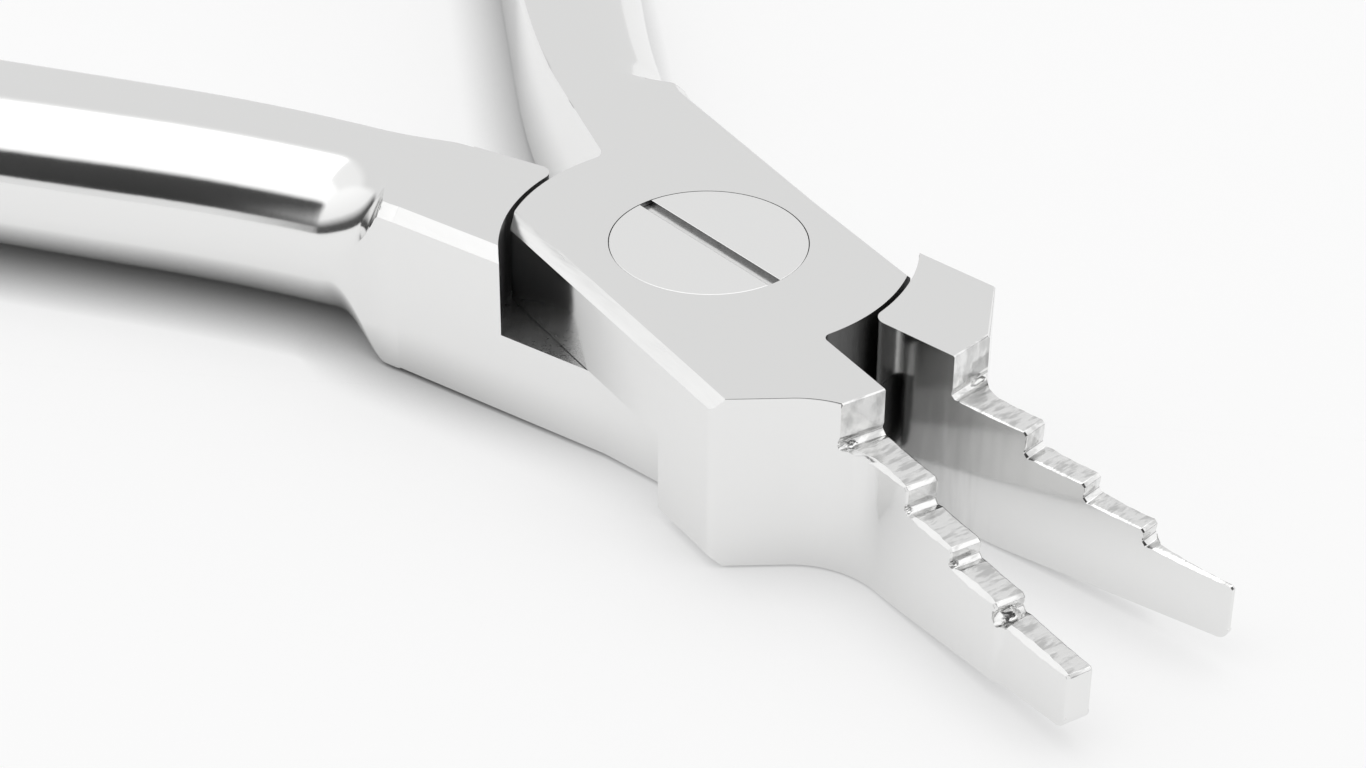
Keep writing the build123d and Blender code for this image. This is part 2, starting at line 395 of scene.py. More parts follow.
print("booleans join points nearer than", WELD, "mm")

# %% [markdown]
# ## The sizes of the levers
# These are the sizes of the packed model, so the finished steel lies exactly where the collision model is.
# Each lever is drawn in its own frame: its axis along X, the jaw on the +Y side and the handle on the -Y side.

# %% Sizes of the lap joint and the jaws
THICKNESS = 8.6
HANDLE_SIDE = 6.5
BEND_X = -0.5
LAP_GAP = 0.04
PLATE_RADIUS = 9.2
SHOULDER_RADIUS = 9.45
JAW_FACE = 0.02
HALF_OPENING = 8.09
SIDE_CHAMFER = 0.55
JAW_UNDER_CHAMFER = 0.5
HANDLE_UNDER_CHAMFER = 0.15
FRONT_CORNER, PLATE_NOTCH, REAR_NOTCH = 0.45, 0.4, 0.7
LAST_STEP_DROP = 0.5
BELLY_START, BELLY_RADIUS, TIP_BOTTOM, TIP_RADIUS = 16.5, 30.0, 1.15, 0.6
FIRST_STEP_X = 14.0
STEP_LENGTHS = (4.0, 3.15, 3.1, 4.5)
STEP_HEIGHTS = (6.5, 5.35, 4.55, 3.85)
TIP_X = FIRST_STEP_X + sum(STEP_LENGTHS)
ROOT = Vector((-13.9, -1.03))
ROOT_HEADING = radians(12.95)
# A jaw's root: side width of the block, x of its front corner, slope of the front face, radius into the blade.
# A blade: thickness at its root, before the last step, after it, and at the tip.
LOWER = {"jaw": (6.2, 11.45, radians(55.5), 2.2), "blade": (1.5, 1.05, 0.6, 0.25), "root_width": 7.85}
UPPER = {"jaw": (6.7, 10.9, radians(60.6), 4.2), "blade": (1.65, 1.5, 1.32, 1.22), "root_width": 6.78}
print("the jaw's last step ends at x =", TIP_X)

# %% [markdown]
# ## The joint block and jaw in plan
# The real lever is milled from one forging. Half of the block's thickness is cut away in a circle round the pivot,
# so that the other lever's round plate fits in. Two plan outlines, one for the plate's layer and one for the shoulders'
# layer, give these circles and their small corner radii exactly, so that both levers truly fit.

# %% Helper: where a corner radius touches a circle and a line
def asin(value):
    return atan(value / sqrt(1 - value * value))


def corner_center(radius, circle, point, heading, side):
    """Center of a corner radius that touches a circle round the pivot from outside and a straight line.

    The line runs through point along heading. Side is 1 where the center lies left of it and -1 right of it.
    Returned are the center ahead of the pivot, the one behind it, and the line's direction to the left.
    """
    along = Vector((cos(heading), sin(heading)))
    left = Vector((-along.y, along.x))
    shifted = Vector(point) + left * side * radius
    off = shifted - along * shifted.dot(along)
    far = sqrt((circle + radius) ** 2 - off.length_squared)
    return off + along * far, off - along * far, left


print("front notch radius sits at", corner_center(PLATE_NOTCH, PLATE_RADIUS, (0, JAW_FACE), 0, -1)[0])


# %% Helpers: corners of the plan
def outer_root(root_width):
    """The outer corner of the handle's root."""
    return ROOT.x + (root_width + ROOT.y) * tan(ROOT_HEADING), -root_width


def blade_root(jaw, blade):
    """Where the front face would meet the blade without their blend."""
    side, corner_x, slope, _ = jaw
    return corner_x + (side - blade[0]) / tan(slope), blade[0]


print("outer root corners at", [[round(v, 2) for v in outer_root(lever["root_width"])] for lever in (LOWER, UPPER)])

# %% Plan outline of the block, and the round space for the other lever
def plate_plan(jaw, blade, root_width):
    """The whole lever in plan, with its round plate and the two notch corners rounded in the hollow."""
    side, corner_x, _, blend = jaw
    last = TIP_X - STEP_LENGTHS[-1]
    front, _, _ = corner_center(PLATE_NOTCH, PLATE_RADIUS, (0, JAW_FACE), 0, -1)
    _, rear, _ = corner_center(REAR_NOTCH, PLATE_RADIUS, ROOT, ROOT_HEADING, 1)
    front_angle = atan(front.y / front.x)
    rear_angle = atan(rear.y / rear.x)
    points = rounded(
        [
            (corner_x, side, FRONT_CORNER),
            (*blade_root(jaw, blade), blend),
            (last, blade[1], 0),
            (last + LAST_STEP_DROP, blade[2], 0),
            (TIP_X, blade[3], 0),
            (TIP_X, JAW_FACE, 0),
            (-6.0, side, 0),
        ]
    )[:-1]
    points += arc(front, PLATE_NOTCH, pi / 2, pi + front_angle)
    points += arc((0, 0), PLATE_RADIUS, front_angle, -asin(HANDLE_SIDE / PLATE_RADIUS))[1:]
    points += [(BEND_X, -HANDLE_SIDE), outer_root(root_width), tuple(ROOT)]
    points += arc(rear, REAR_NOTCH, -pi / 2 + ROOT_HEADING, rear_angle)
    points += arc((0, 0), PLATE_RADIUS, pi + rear_angle, pi - asin(side / PLATE_RADIUS))[1:]
    return points


def relief_plan():
    """The round space, which also rounds the two corners of the shoulders that face the pivot."""
    front, _, _ = corner_center(REAR_NOTCH, SHOULDER_RADIUS, (0, JAW_FACE), 0, 1)
    _, rear, left = corner_center(REAR_NOTCH, SHOULDER_RADIUS, ROOT, ROOT_HEADING, -1)
    front_angle = atan(front.y / front.x)
    rear_angle = atan(rear.y / rear.x)
    touch = rear + left * REAR_NOTCH
    points = [(front.x, -1.0)] + arc(front, REAR_NOTCH, -pi / 2, -pi + front_angle)
    points += arc((0, 0), SHOULDER_RADIUS, front_angle, radians(170))[1:]
    points += [(touch.x, 1.0)] + arc(rear, REAR_NOTCH, pi / 2 + ROOT_HEADING, rear_angle)
    points += arc((0, 0), SHOULDER_RADIUS, pi + rear_angle, radians(355))[1:]
    return points


print("block outline:", len(plate_plan(**LOWER)), "points; round space:", len(relief_plan()), "points")

# %% [markdown]
# ## The jaw from the side
# The steps are the tool's purpose: wire is bent round a step, and each gives a loop of its own height. A grinding
# wheel cut them from above, so each step's lip has a small facet and each root a small gouge where the wheel bit too
# deep. The belly underneath rises in a long arc. One side outline holds all of this, and one cut gives it to the jaw.


# %% Side outline with the steps and the belly
def side_outline(gouges):
    """The lever from the side, as (x, z): the stepped top, the tip and the rising belly.

    The grinding wheel cut a little gouge of its own depth into the root of each step.
    """
    corners = [(-30.0, 0.0, 0), (-30.0, THICKNESS, 0)]
    lips = [THICKNESS] + list(STEP_HEIGHTS)
    x = FIRST_STEP_X
    for length, above, height, deep in zip(STEP_LENGTHS, lips, STEP_HEIGHTS, gouges):
        facet = 0.06 if above == THICKNESS else 0.15
        corners += [(x - facet, above, facet * 0.4), (x + 0.01, above - facet, facet * 0.4)]
        corners += [(x, height + 0.42, 0.15), (x - deep, height + 0.14, 0.12)]
        corners += [(x + 0.16, height - deep, 0.12), (x + 0.5, height, 0.2)]
        x += length
    corners += [(TIP_X - 0.1, STEP_HEIGHTS[-1], 0.1), (TIP_X, STEP_HEIGHTS[-1] - 0.12, 0.1)]
    corners += [(TIP_X, TIP_BOTTOM, TIP_RADIUS), (BELLY_START, 0.0, BELLY_RADIUS)]
    return rounded(corners)


GOUGES = {"lower": (0.07, 0.06, 0.05, 0.05), "upper": (0.1, 0.08, 0.06, 0.08)}
print("side outline:", len(side_outline(GOUGES["upper"])), "points")

# %% [markdown]
# ## Broken edges
# A maker takes every long edge down with a wheel or a file: a straight band along both sides, a band that widens
# along the front face, and a slim lens along the edge of each step. A bevel modifier gives all edges one width, so
# these bands are cut with three-sided wedges instead, each with its own width at each place.

# %% Helper: wedges that break an edge
def wedge_of(rings):
    """A closed three-sided bar through rings of three points each."""
    wedge = bmesh.new()
    rings = [[wedge.verts.new(point) for point in ring] for ring in rings]
    wedge.faces.new(rings[0])
    wedge.faces.new(rings[-1])
    for one, two in zip(rings, rings[1:]):
        for k in range(3):
            wedge.faces.new((one[k], one[(k + 1) % 3], two[(k + 1) % 3], two[k]))
    bmesh.ops.recalc_face_normals(wedge, faces=wedge.faces)
    if wedge.calc_volume(signed=True) < 0:
        bmesh.ops.reverse_faces(wedge, faces=wedge.faces)
    return wedge


def wedge_corners(inset, drop, spare, swell=1.0):
    """(out, rise) of a wedge's three corners. It reaches past the metal by the spare."""
    reach, fall = inset * swell, drop * swell
    return (-reach - spare * inset / drop, spare), (spare, spare), (spare, -fall - spare * drop / inset)


def edge_break(stations, height, up, spare=0.6):
    """A long wedge that breaks an edge along stations of (x, y, inset, drop).

    Inset is how far the break reaches over the flat and drop how far down the side; up is 1 for a top edge and
    -1 for a bottom one.
    """
    rings = []
    for i, (x, y, inset, drop) in enumerate(stations):
        before = Vector(stations[max(i - 1, 0)][:2])
        after = Vector(stations[min(i + 1, len(stations) - 1)][:2])
        along = (after - before).normalized()
        outward = Vector((along.y, -along.x))
        if outward.y * y < 0:
            outward = -outward
        corners = wedge_corners(inset, drop, spare)
        rings.append([(x + outward.x * out, y + outward.y * out, height + up * rise) for out, rise in corners])
    return wedge_of(rings)


print("a test wedge has", len(edge_break([(0, 1, 0.5, 0.5), (5, 1, 0.5, 0.5)], THICKNESS, 1).faces), "faces")

# %% [markdown]
# ## The filed steps
# The near edge of each step is the brightest line of the jaw: a file took it down by hand, most in the middle of a step
# and least at its ends, with a slight waver. The wedge for it follows the side outline over all the steps, and its
# width swells and shrinks along the way.

# %% Helper: a wedge along the filed steps
FILE_BIT = 0.35
LEAST_FILED, FILE_WAVER, WAVERS_PER_MM = 0.45, 0.12, 7.0


def step_share(x):
    """How far along its step a place is, from 0 at the root to 1 at the lip."""
    begin = FIRST_STEP_X
    for length in STEP_LENGTHS:
        if x < begin + length:
            return max(x - begin, 0) / length
        begin += length
    return 1.0


def filed_edge(outline, edge_y, inset, drop, side, spare=0.05):
    """A stepped wedge that files the edge of the steps along a blade's side, most in the middle of each step.

    It follows the side outline from the first step to the tip. Edge_y gives the side's y at each x; side is 1 for
    the outer edge and -1 for the inner one. The file reaches inset over the step and drop down the side.
    """
    start = next(i for i, (x, z) in enumerate(outline) if x > FIRST_STEP_X + 0.2)
    stop = next(i for i, (x, z) in enumerate(outline) if x > TIP_X - 0.01 and z < STEP_HEIGHTS[-1] - 0.8)
    (x0, z0), (x1, z1) = outline[start], outline[start + 1]
    stations = [((x0 + x1) / 2, (z0 + z1) / 2)] + outline[start + 1 : stop + 1]
    dense = [stations[0]]
    for before, after in zip(stations, stations[1:]):
        bits = int((Vector(after) - Vector(before)).length / FILE_BIT) + 1
        for k in range(1, bits + 1):
            dense.append(tuple(Vector(before).lerp(Vector(after), k / bits)))
    rings = []
    for x, z in dense:
        swell = LEAST_FILED + (1 - LEAST_FILED) * sin(pi * step_share(x)) + FILE_WAVER * sin(WAVERS_PER_MM * x)
        y = edge_y(x)
        corners = wedge_corners(inset, drop, spare, swell)
        rings.append([(x + rise, y + side * out, z + rise) for out, rise in corners])
    wedge = wedge_of(rings)
    bmesh.ops.triangulate(wedge, faces=wedge.faces)
    return wedge


print("a place 15 mm from the pivot is", round(step_share(15.0), 2), "along its step")

# %% [markdown]
# ## Where the blade's side runs, and the pits
# The blade thins towards the tip, so the file needs to know its side at each place. At the root of the near jaw's last
# step the wheel slipped and tore out a ragged pit; smaller ones sit at the other roots. A ball with noise on it,
# pressed into the steel by a boolean, leaves just such a bite.

# %% Helper: the blade's side, and a ragged pit
LUMP, LUMPS, GRAIN, GRAINS = 0.22, 2.1, 0.12, 5.3


def blade_side(jaw, blade, x):
    """The y of the blade's outer side at an x, with its blend into the front face."""
    _, _, slope, blend = jaw
    last = TIP_X - STEP_LENGTHS[-1]
    end = blade_root(jaw, blade)[0] + blend * tan(slope / 2)
    if x < end:
        return blade[0] + blend - sqrt(blend**2 - (end - x) ** 2)
    stations = [(end, blade[0]), (last, blade[1]), (last + LAST_STEP_DROP, blade[2]), (TIP_X, blade[3])]
    for (x0, y0), (x1, y1) in zip(stations, stations[1:]):
        if x <= x1 or x1 == TIP_X:
            return y0 + (y1 - y0) * (x - x0) / (x1 - x0)


def rough_pit(center, reach, seed):
    """A ragged ball, for the pit that a slipping wheel tore into the metal."""
    pit = bmesh.new()
    bmesh.ops.create_icosphere(pit, subdivisions=3, radius=1.0)
    for vert in pit.verts:
        lumpy = 1 + LUMP * noise.noise(vert.co * LUMPS + Vector((seed, 0, 0)))
        ragged = lumpy + GRAIN * noise.noise(vert.co * GRAINS)
        vert.co = Vector(center) + Vector([c * r * ragged for c, r in zip(vert.co, reach)])
    return pit


print("blade side at the tip:", blade_side(UPPER["jaw"], UPPER["blade"], TIP_X), "mm from the jaw face")

# %% [markdown]
# ## Cutting the block
# The tool is milled, so it is made here as a miller would: a blank in plan, a round relief, the side outline,
# edge breaks along both sides and the front, the filed steps, the pits, and last the bore. The exact boolean solver
# keeps flat faces truly flat, which matters in mirror-like steel, where the slightest dent would show.

# %% Helper: the edge break along the front face
LEAST_DROP, MORE_DROP, INSET_SHARE = 0.07, 0.15, 0.5


def front_edge_break(jaw, blade):
    """The break along the top of the jaw's front face, which widens towards the first step."""
    side, corner_x, slope, blend = jaw
    curve = rounded([(corner_x, side, 0), (*blade_root(jaw, blade), blend), (20.0, blade[0], 0)])[:-1]
    start = Vector(curve[0]) - Vector((cos(slope), -sin(slope))) * 0.8
    line = [tuple(start)] + [point for point in curve[1:] if point[0] < FIRST_STEP_X + 1.2]
    stations = []
    for x, y in line:
        share = min(max((x - corner_x) / (FIRST_STEP_X - corner_x), 0), 1)
        drop = LEAST_DROP + MORE_DROP * share**2
        stations.append((x, y, drop * INSET_SHARE, drop))
    return edge_break(stations, THICKNESS, 1, spare=0.15)


print("the front break starts at x =", UPPER["jaw"][1], "and ends past", FIRST_STEP_X)


# %% Cut a lever's block and jaw
def cut_block(jaw, blade, root_width, gouges, filed, pits, plate_below):
    """The block with its jaw. The plate lies in the lower half, or else in the upper half."""
    block = prism(plate_plan(jaw, blade, root_width), -1.0, THICKNESS + 1.0)
    middle = THICKNESS / 2
    if plate_below:
        relief = prism(relief_plan(), middle - LAP_GAP / 2, THICKNESS + 3)
    else:
        relief = prism(relief_plan(), -3, middle + LAP_GAP / 2)
    block = cut(block, relief)
    side = [(x, -20.0, z) for x, z in side_outline(gouges)]
    block = combine(block, solid(side, [(x, 20.0, z) for x, _, z in side]), "INTERSECT")
    corner = Vector(outer_root(root_width))
    beyond = corner + (corner - Vector((BEND_X, -HANDLE_SIDE))).normalized() * 3
    jaw_line = [(-9.0, jaw[0]), (14.0, jaw[0])]
    handle_line = [(9.0, -HANDLE_SIDE), (BEND_X, -HANDLE_SIDE), tuple(beyond)]
    for line, height, size, up in (
        (jaw_line, THICKNESS, SIDE_CHAMFER, 1),
        (handle_line, THICKNESS, SIDE_CHAMFER, 1),
        (jaw_line, 0, JAW_UNDER_CHAMFER, -1),
        (handle_line, 0, HANDLE_UNDER_CHAMFER, -1),
    ):
        block = cut(block, edge_break([(x, y, size, size) for x, y in line], height, up))
    block = cut(block, front_edge_break(jaw, blade))
    outline = side_outline(gouges)
    outer = filed_edge(outline, lambda x: blade_side(jaw, blade, x), filed, filed, 1)
    inner = filed_edge(outline, lambda x: JAW_FACE, *INNER_FILED, -1)
    return cut(block, together(outer, inner), *(rough_pit(*pit) for pit in pits))


INNER_FILED = (0.16, 0.09)
LOWER_PITS = [((14.03, 1.75, 6.5), (0.16, 0.5, 0.17), 1.0)]
UPPER_PITS = [
    ((24.4, 1.12, 3.9), (0.5, 0.8, 0.44), 3.0),
    ((14.05, 1.9, 6.46), (0.2, 0.5, 0.2), 5.0),
    ((18.02, 1.6, 5.42), (0.16, 0.34, 0.17), 7.0),
    ((21.17, 1.45, 4.6), (0.15, 0.3, 0.15), 9.0),
]
LOWER_BORE, UPPER_BORE, HEAD_BORE, HEAD_BORE_DEPTH = 3.01, 3.03, 4.53, 1.72
lower_block = cut_block(**LOWER, gouges=GOUGES["lower"], filed=0.17, pits=LOWER_PITS, plate_below=True)
lower_block = cut(lower_block, prism(circle(LOWER_BORE), -5, 14))
upper_block = cut_block(**UPPER, gouges=GOUGES["upper"], filed=0.22, pits=UPPER_PITS, plate_below=False)
head_seat = prism(circle(HEAD_BORE), THICKNESS - HEAD_BORE_DEPTH, 14)
upper_block = cut(upper_block, prism(circle(UPPER_BORE), -5, 14), head_seat)
print("blocks:", len(lower_block.faces), "and", len(upper_block.faces), "faces")

# %% [markdown]
# ## Softening the other edges
# No edge of a polished tool is truly sharp. What no file has taken down, the polishing wheel has rounded by a hair,
# enough to catch a thin line of light. A bevel of the mesh does this once block and handle are one body. It leaves out
# the steps, which are filed, the screw's seat, which is lapped flush, and edges too short to bevel cleanly.

# %% Helper: soften the edges of a lever
SHARP, SHORT = radians(28), 0.09


def bevel(mesh, edges, width, bits, **more):
    """Rounds the edges over a width."""
    options = {"offset_type": "WIDTH", "profile": 0.5, "affect": "EDGES", **more}
    bmesh.ops.bevel(mesh, geom=edges, offset=width, segments=bits, **options)


def soften(lever, width=0.045):
    """Breaks the sharp edges of the block and the jaw by a hair, all but the filed steps and the screw's seat."""
    along = Vector((-cos(ROOT_HEADING), -sin(ROOT_HEADING)))
    sharp = []
    for edge in lever.edges:
        if len(edge.link_faces) != 2 or edge.calc_face_angle(0) < SHARP or edge.calc_length() < SHORT:
            continue
        reach = [(Vector(v.co[:2]) - ROOT).dot(along) for v in edge.verts]
        round_screw = all(v.co.xy.length < 5.0 for v in edge.verts)
        stepped = any(v.co.x > FIRST_STEP_X - 0.4 and v.co.z > 2.6 for v in edge.verts)
        if min(reach) < -0.1 and max(reach) < -0.01 and not round_screw and not stepped:
            sharp.append(edge)
    bevel(lever, sharp, width, 2, clamp_overlap=True)
    return len(sharp)


print("edges sharper than", round(degrees(SHARP)), "degrees will be softened")

# %% [markdown]
# ## The handles
# Each handle grows out of the square block, turns half-round within a short neck, bows out, swells a little where
# the hand holds it, and slims towards a rounded end. That is a section which follows a path by a rule, so Geometry
# Nodes make it. The section is a D: flat inside, with small rounded edges, and an ellipse outside. Its points carry
# only shares of the section's sizes. The tree works out the sizes at each station and puts the points in place.

# %% The D section, as shares of its sizes
INNER_EDGE_BITS, FLAT_STOPS, OUTER_BITS = 6, (0.25, 0.5, 0.75), 28


def section_rows():
    """Half a ring, as shares of (width, flat, edge) and of (half height, side, edge) for each point.

    A row has them for the round D and for the root, where the outer corner is still a straight edge break.
    """
    rows = []
    for i in range(INNER_EDGE_BITS + 1):
        turn = pi / 2 * i / INNER_EDGE_BITS
        rows.append(((0, 0, 1 - cos(turn)), (1, 0, sin(turn) - 1)) * 2)
    rows += [((0, t, 1 - t), (1, 0, 0)) * 2 for t in FLAT_STOPS]
    for i in range(OUTER_BITS + 1):
        turn, line = pi / 2 * (1 - i / OUTER_BITS), i / OUTER_BITS
        round_corner = ((cos(turn), 1 - cos(turn), 0), (sin(turn), 1 - sin(turn), 0))
        rows.append(round_corner + ((line, 1 - line, 0), (1 - line, line, 0)))
    return rows


def section_template():
    """The whole ring, its shares stored on its points, with a mark on the upper half."""
    rows = section_rows()
    ring = bpy.data.meshes.new("section")
    count = len(rows)
    ring.from_pydata([(0, 0, 0)] * (2 * count), [(i, (i + 1) % (2 * count)) for i in range(2 * count)], [])
    for pick, name in enumerate(("width_shares", "height_shares", "root_width_shares", "root_height_shares")):
        layer = ring.attributes.new(name, "FLOAT_VECTOR", "POINT")
        values = [row[pick] for row in rows] + [row[pick] for row in reversed(rows)]
        layer.data.foreach_set("vector", [v for value in values for v in value])
    layer = ring.attributes.new("above", "FLOAT", "POINT")
    layer.data.foreach_set("value", [1.0] * count + [0.0] * count)
    return ring


section = section_template()
print("section:", len(section.vertices), "points")

# %% [markdown]
# ## The handle's sizes
# These are the sliders of the handle's modifier. The photo shows the neck and the first third of each handle; the
# rest follows such pliers. Keeping them in one table lets both levers share one tree, with only the root's depth
# set for each lever.

# %% Sizes of a handle, in millimetres and radians
HANDLE_SIZES = {
    "Root depth": 7.1,
    "Root thickness": THICKNESS,
    "Top edge break": SIDE_CHAMFER,
    "Under edge break": HANDLE_UNDER_CHAMFER,
    "Neck length": 5.2,
    "Neck width": 6.4,
    "Grip width": 7.2,
    "End width": 5.4,
    "Grip share": 0.35,
    "Neck thickness": 8.4,
    "End thickness": 6.0,
    "End length": 3.2,
    "Inner edge radius": 0.7,
    "Top flat share": 0.4,
    "Side flat share": 0.03,
    "Root heading": ROOT_HEADING,
    "Splay": radians(24.5),
    "End heading": radians(-8.0),
    "Splay radius": 80.0,
    "Straight length": 14.0,
    "Return radius": 107.0,
    "Body stations": 180.0,
    "End stations": 14.0,
}
print("a handle has", len(HANDLE_SIZES), "sizes")

# %% [markdown]
# ## Sweeping the section
# The tree first sweeps the D along a plain row of stations, which gives the skin its faces but no shape yet. Each
# point keeps its station's number. Stations stand closer at the neck, where the shape changes fast.

# %% Helpers: swept rings, and the way along the handle
EVEN_SPACING = 0.3
END_TURN = radians(87.0)


def stored(sums, name, kind="FLOAT"):
    """Reads a value that each point carries."""
    read = sums.node("GeometryNodeInputNamedAttribute", {"Name": name}, data_type=kind)
    return next(s for s in read.outputs if s.enabled and s.name == "Attribute")


def swept_rings(sums, given):
    """The section swept along a row of stations."""
    stations = sums.math("ADD", sums.math("ADD", given["Body stations"], given["End stations"]), 1.0)
    line = sums.node("GeometryNodeMeshLine", {"Count": stations}).outputs["Mesh"]
    feeds = {"Name": "station", "Geometry": line, "Value": sums.node("GeometryNodeInputIndex").outputs[0]}
    keep = sums.node("GeometryNodeStoreNamedAttribute", feeds, data_type="FLOAT", domain="POINT")
    path, ring = (
        sums.node("GeometryNodeMeshToCurve", {"Mesh": mesh}).outputs["Curve"]
        for mesh in (keep.outputs["Geometry"], given["Geometry"])
    )
    feeds = {"Curve": path, "Profile Curve": ring, "Fill Caps": True}
    return sums.node("GeometryNodeCurveToMesh", feeds).outputs["Mesh"]


def way_along(sums, given):
    """This ring's distance along the path, the lengths of the path and its splay, and the end's shrinking."""
    m = sums.math
    station = stored(sums, "station")
    splay_length = m("MULTIPLY", given["Splay radius"], m("SUBTRACT", given["Splay"], given["Root heading"]))
    return_length = m("MULTIPLY", given["Return radius"], m("SUBTRACT", given["Splay"], given["End heading"]))
    total = m("ADD", m("ADD", splay_length, given["Straight length"]), return_length)
    along = m("MINIMUM", m("DIVIDE", station, given["Body stations"]), 1.0)
    closer_at_neck = m("MULTIPLY", along, m("MULTIPLY_ADD", along, 1 - EVEN_SPACING, EVEN_SPACING))
    body = m("MULTIPLY", closer_at_neck, total)
    into_end = m("DIVIDE", m("MAXIMUM", m("SUBTRACT", station, given["Body stations"]), 0.0), given["End stations"])
    end_turn = m("MULTIPLY", into_end, END_TURN)
    distance = m("MULTIPLY_ADD", given["End length"], m("SINE", end_turn), body)
    return distance, total, splay_length, m("COSINE", end_turn)


print("the last ring stands at", round(degrees(END_TURN)), "degrees of the rounded end")

# %% [markdown]
# ## The handle's path
# The path is an arc that splays, a straight run and a long arc that comes back. A distance along it gives the place
# and the heading. A drawn curve could do this too, but arcs and a line stay smooth at any length.

# %% Helper: place and heading on the path
def place_on_path(sums, given, distance, splay_length):
    """x and y of the path at a distance, with the sine and cosine of the heading there."""
    m = sums.math
    splayed = m("DIVIDE", m("MINIMUM", distance, splay_length), given["Splay radius"])
    out = m("ADD", given["Root heading"], splayed)
    straight = m("MINIMUM", m("MAXIMUM", m("SUBTRACT", distance, splay_length), 0.0), given["Straight length"])
    beyond = m("SUBTRACT", m("SUBTRACT", distance, splay_length), given["Straight length"])
    heading = m("SUBTRACT", out, m("DIVIDE", m("MAXIMUM", beyond, 0.0), given["Return radius"]))
    sine, cosine = m("SINE", out), m("COSINE", out)
    sine_now, cosine_now = m("SINE", heading), m("COSINE", heading)
    x = m("MULTIPLY", given["Splay radius"], m("SUBTRACT", m("SINE", given["Root heading"]), sine))
    x = m("SUBTRACT", x, m("MULTIPLY", straight, cosine))
    x = m("ADD", x, m("MULTIPLY", given["Return radius"], m("SUBTRACT", sine_now, sine)))
    y = m("MULTIPLY", given["Splay radius"], m("SUBTRACT", cosine, m("COSINE", given["Root heading"])))
    y = m("SUBTRACT", y, m("MULTIPLY", straight, sine))
    y = m("ADD", y, m("MULTIPLY", given["Return radius"], m("SUBTRACT", cosine, cosine_now)))
    return m("ADD", x, ROOT.x), m("ADD", y, ROOT.y), sine_now, cosine_now


print("the path starts at", ROOT[:], "mm")

# %% [markdown]
# ## The neck
# The block's edge breaks end in the neck: the upper one in a blunt nose, the lower one in a long gentle run-out. Three
# shares of the neck's length say how round the section is by now, one for each run-out and one for the corner
# between flat and side. Each is a plain power curve, since those can be steep at one end and flat at the other.

# %% Helper: sizes of the section along the handle
ROUNDING_BEGINS = 0.2
BLUNT_POWER, GENTLE_POWERS, BENT_POWER = 2.0, (1.5, 2.2), 3.0
ROOT_INNER_EDGE = 0.12


def early(sums, share, power):
    """A share from 0 to 1 that rises fast at first: 1 - (1 - share) ** power."""
    return sums.math("SUBTRACT", 1.0, sums.math("POWER", sums.math("SUBTRACT", 1.0, share), power))


def width_and_half(sums, given, distance, total, neck):
    """The section's width and half its height: root, neck, grip and end, blended."""
    m = sums.math
    eased = m("MULTIPLY", m("MULTIPLY", neck, neck), m("SUBTRACT", 3.0, m("MULTIPLY", neck, 2.0)))
    reached = m("SUBTRACT", m("MINIMUM", distance, total), given["Neck length"])
    share = m("DIVIDE", reached, m("SUBTRACT", total, given["Neck length"]))
    rear = m("GREATER_THAN", share, given["Grip share"])
    span = sums.mix(given["Grip share"], m("SUBTRACT", 1.0, given["Grip share"]), rear)
    away = m("DIVIDE", m("SUBTRACT", share, given["Grip share"]), span)
    end_width = sums.mix(given["Neck width"], given["End width"], rear)
    width = sums.mix(given["Grip width"], end_width, m("MULTIPLY", away, away))
    width = sums.mix(given["Root depth"], width, eased)
    square = m("MULTIPLY", m("MAXIMUM", share, 0.0), m("MAXIMUM", share, 0.0))
    height = sums.mix(given["Neck thickness"], given["End thickness"], square)
    height = sums.mix(given["Root thickness"], height, eased)
    return width, m("MULTIPLY", height, 0.5)


print("the section starts to turn round after", ROUNDING_BEGINS, "of the neck")


# %% Helper: each point of the D
def point_of_d(sums, given, neck, width, half):
    """How far across the section and how far from its middle height a point lies."""
    m = sums.math
    above = stored(sums, "above")
    begun = m("DIVIDE", m("SUBTRACT", neck, ROUNDING_BEGINS), 1 - ROUNDING_BEGINS, clamp=True)
    gentle = early(sums, m("POWER", begun, GENTLE_POWERS[0]), GENTLE_POWERS[1])
    blend = sums.mix(gentle, early(sums, begun, BLUNT_POWER), above)
    edge = sums.mix(ROOT_INNER_EDGE, given["Inner edge radius"], blend)
    root_half = m("MULTIPLY", given["Root thickness"], 0.5)
    break_here = sums.mix(given["Under edge break"], given["Top edge break"], above)
    round_flat = m("MULTIPLY", width, given["Top flat share"])
    round_side = m("MULTIPLY", half, given["Side flat share"])
    flat = sums.mix(m("SUBTRACT", width, break_here), round_flat, blend)
    side = sums.mix(m("SUBTRACT", root_half, break_here), round_side, blend)
    bent = sums.mix(1.0, early(sums, begun, BENT_POWER), above)
    shares = [
        sums.split(sums.blended(stored(sums, "root_" + name, "FLOAT_VECTOR"), stored(sums, name, "FLOAT_VECTOR"), bent))
        for name in ("width_shares", "height_shares")
    ]
    sizes = ((width, flat, edge), (half, side, edge))
    return [
        m("MULTIPLY_ADD", share[0], size[0], m("MULTIPLY_ADD", share[1], size[1], m("MULTIPLY", share[2], size[2])))
        for share, size in zip(shares, sizes)
    ]


print("at the root the inner edges are rounded by", ROOT_INNER_EDGE, "mm")


